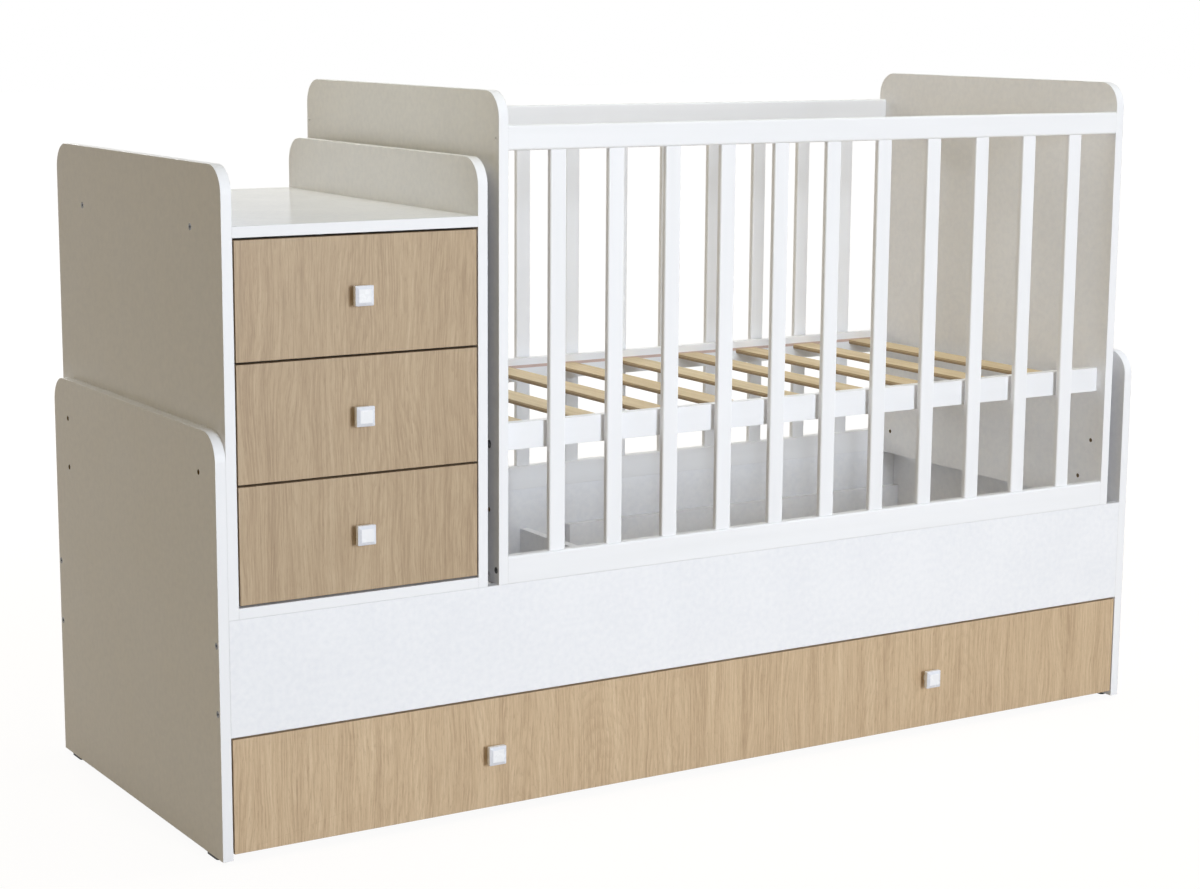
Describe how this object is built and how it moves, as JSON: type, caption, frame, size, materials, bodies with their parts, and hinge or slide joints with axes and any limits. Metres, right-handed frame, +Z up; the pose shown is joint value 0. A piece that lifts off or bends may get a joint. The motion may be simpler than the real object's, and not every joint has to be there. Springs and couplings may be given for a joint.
{
  "type": "convertible crib",
  "caption": "White slatted crib with a raised slatted base, a drawer chest with changing top beside it and a long oak-faced drawer on castors under the whole length.",
  "frame": {"origin": "on the floor, at the middle of the length and midway between the knob faces and the rear edges", "axes": "+X to the right along the length seen from the front, +Y to the back, +Z up"},
  "size_m": [1.732, 0.67, 1.095],
  "materials": {
    "white_board": "white laminated particle board, fine pearl texture",
    "oak_board": "oak-grain laminate on particle board, upright grain",
    "white_beech": "white satin lacquer on beech",
    "plain_birch": "planed natural birch, unvarnished",
    "hardboard": "white-faced hardboard",
    "knob_white": "white moulded, satin gloss",
    "steel": "bright zinc plating",
    "guide_plastic": "white extruded strip",
    "glide_plastic": "black moulded pad",
    "wheel_plastic": "dark grey moulded nylon"
  },
  "bodies": {
    "frame": {"left_foot_panel": "white_board", "right_foot_panel": "white_board", "floor_glides": "glide_plastic", "front_apron": "white_board", "back_apron": "white_board", "cross_board": "white_board", "bed_battens": "white_board", "low_drawer_stops": "white_board", "frame_brackets": "steel", "frame_wood_screws": "steel", "confirmat_screws": "steel", "left_crib_end": "white_board", "right_crib_end": "white_board", "front_side_top_rail": "white_beech", "front_side_bottom_rail": "white_beech", "front_side_slats": "white_beech", "back_side_top_rail": "white_beech", "back_side_bottom_rail": "white_beech", "back_side_slats": "white_beech", "bed_base_rails": "white_beech", "bed_base_slats": "plain_birch", "bed_base_connectors": "steel", "chest_left_side": "white_board", "chest_right_side": "white_board", "chest_bottom": "white_board", "changing_top": "white_board", "chest_back_panel": "hardboard", "drawer_guides": "guide_plastic", "guide_screws": "steel"},
    "drawer_1": {"drawer_1_front": "oak_board", "drawer_1_sides": "white_board", "drawer_1_back": "white_board", "drawer_1_bottom": "hardboard", "drawer_1_knob": "knob_white", "drawer_1_screws": "steel"},
    "drawer_2": {"drawer_2_front": "oak_board", "drawer_2_sides": "white_board", "drawer_2_back": "white_board", "drawer_2_bottom": "hardboard", "drawer_2_knob": "knob_white", "drawer_2_screws": "steel"},
    "drawer_3": {"drawer_3_front": "oak_board", "drawer_3_sides": "white_board", "drawer_3_back": "white_board", "drawer_3_bottom": "hardboard", "drawer_3_knob": "knob_white", "drawer_3_screws": "steel"},
    "low_drawer": {"low_drawer_front": "oak_board", "low_drawer_sides": "white_board", "low_drawer_back": "white_board", "low_drawer_divider": "white_board", "low_drawer_bottom": "hardboard", "low_drawer_bearers": "white_board", "low_drawer_knobs": "knob_white", "low_drawer_screws": "steel", "castor_forks": "steel"},
    "wheel_front_left": {"castor_wheel_front_left": "wheel_plastic"},
    "wheel_rear_left": {"castor_wheel_rear_left": "wheel_plastic"},
    "wheel_front_right": {"castor_wheel_front_right": "wheel_plastic"},
    "wheel_rear_right": {"castor_wheel_rear_right": "wheel_plastic"}
  },
  "joints": [
    {"name": "drawer_1_slide", "type": "slide", "parent": "frame", "child": "drawer_1", "axis": [0, -1, 0], "range_m": [0, 0.36]},
    {"name": "drawer_2_slide", "type": "slide", "parent": "frame", "child": "drawer_2", "axis": [0, -1, 0], "range_m": [0, 0.36]},
    {"name": "drawer_3_slide", "type": "slide", "parent": "frame", "child": "drawer_3", "axis": [0, -1, 0], "range_m": [0, 0.36]},
    {"name": "low_drawer_roll", "type": "slide", "parent": "frame", "child": "low_drawer", "axis": [0, -1, 0], "range_m": [0, 0.5]},
    {"name": "wheel_front_left_turn", "type": "hinge", "parent": "low_drawer", "child": "wheel_front_left", "pos_m": [-0.7685, -0.204, 0.018], "axis": [1, 0, 0], "range_deg": [0, 1600]},
    {"name": "wheel_rear_left_turn", "type": "hinge", "parent": "low_drawer", "child": "wheel_rear_left", "pos_m": [-0.7685, 0.176, 0.018], "axis": [1, 0, 0], "range_deg": [0, 1600]},
    {"name": "wheel_front_right_turn", "type": "hinge", "parent": "low_drawer", "child": "wheel_front_right", "pos_m": [0.7685, -0.204, 0.018], "axis": [1, 0, 0], "range_deg": [0, 1600]},
    {"name": "wheel_rear_right_turn", "type": "hinge", "parent": "low_drawer", "child": "wheel_rear_right", "pos_m": [0.7685, 0.176, 0.018], "axis": [1, 0, 0], "range_deg": [0, 1600]}
  ],
  "couplings": [
    {"joint": "wheel_front_left_turn", "follows": "low_drawer_roll", "rad_per_m": 55.556},
    {"joint": "wheel_rear_left_turn", "follows": "low_drawer_roll", "rad_per_m": 55.556},
    {"joint": "wheel_front_right_turn", "follows": "low_drawer_roll", "rad_per_m": 55.556},
    {"joint": "wheel_rear_right_turn", "follows": "low_drawer_roll", "rad_per_m": 55.556}
  ]
}
